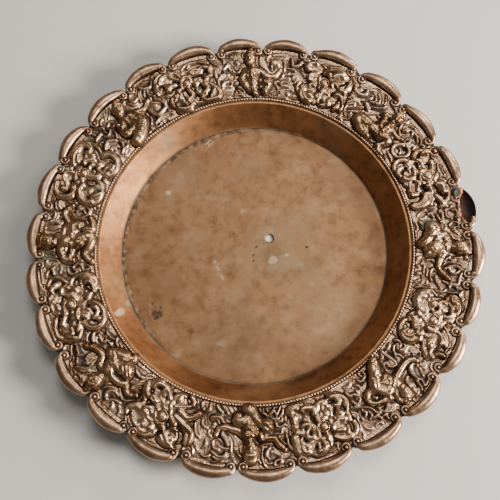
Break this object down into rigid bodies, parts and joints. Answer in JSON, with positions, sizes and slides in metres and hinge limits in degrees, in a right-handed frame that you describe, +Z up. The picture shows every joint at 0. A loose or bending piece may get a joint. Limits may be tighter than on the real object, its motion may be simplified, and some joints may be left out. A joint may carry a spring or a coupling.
{
  "type": "decorative plate",
  "caption": "Round lobed metal plate with a deep flat-bottomed well, a beaded ring and a broad border of rosettes, figures and scrollwork in relief.",
  "frame": {"origin": "middle of the base, on the underside of the floor disc", "axes": "+Z up out of the well, +Y towards the top of the plate as displayed, +X to the right"},
  "size_m": [0.2964, 0.2971, 0.0254],
  "materials": {
    "floor": "dull copper, brushed and spotted",
    "wall": "smooth warm copper",
    "beading": "rubbed bright, dark between",
    "border": "silvery bronze with dark patina in the hollows",
    "rim": "smooth rubbed silvery bronze",
    "relief": "rubbed bright on the high points, dark in the hollows",
    "backing": "dark red-brown copper"
  },
  "bodies": {
    "root": {"floor_disc": "floor", "well_wall": "wall", "bead_wire": "beading", "border_sheet": "border", "back_plate": "backing", "rim_scroll_01": "rim", "rim_scroll_02": "rim", "rim_scroll_03": "rim", "rim_scroll_04": "rim", "rim_scroll_05": "rim", "rim_scroll_06": "rim", "rim_scroll_07": "rim", "rim_scroll_08": "rim", "rim_scroll_09": "rim", "rim_scroll_10": "rim", "rim_scroll_11": "rim", "rim_scroll_12": "rim", "rim_scroll_13": "rim", "rim_scroll_14": "rim", "rim_scroll_15": "rim", "rim_scroll_16": "rim", "rim_scroll_17": "rim", "rim_scroll_18": "rim", "rim_scroll_19": "rim", "rim_scroll_20": "rim", "rim_scroll_21": "rim", "rim_scroll_22": "rim", "rim_scroll_23": "rim", "rim_scroll_24": "rim", "rim_scroll_25": "rim", "rim_scroll_26": "rim", "rosette_01": "relief", "rosette_rivet_01": "beading", "figure_01": "relief", "rosette_02": "relief", "rosette_rivet_02": "beading", "figure_02": "relief", "rosette_03": "relief", "rosette_rivet_03": "beading", "figure_03": "relief", "rosette_04": "relief", "rosette_rivet_04": "beading", "figure_04": "relief", "rosette_05": "relief", "rosette_rivet_05": "beading", "figure_05": "relief", "rosette_06": "relief", "rosette_rivet_06": "beading", "figure_06": "relief", "rosette_07": "relief", "rosette_rivet_07": "beading", "figure_07": "relief", "rosette_08": "relief", "rosette_rivet_08": "beading", "figure_08": "relief"}
  },
  "joints": []
}
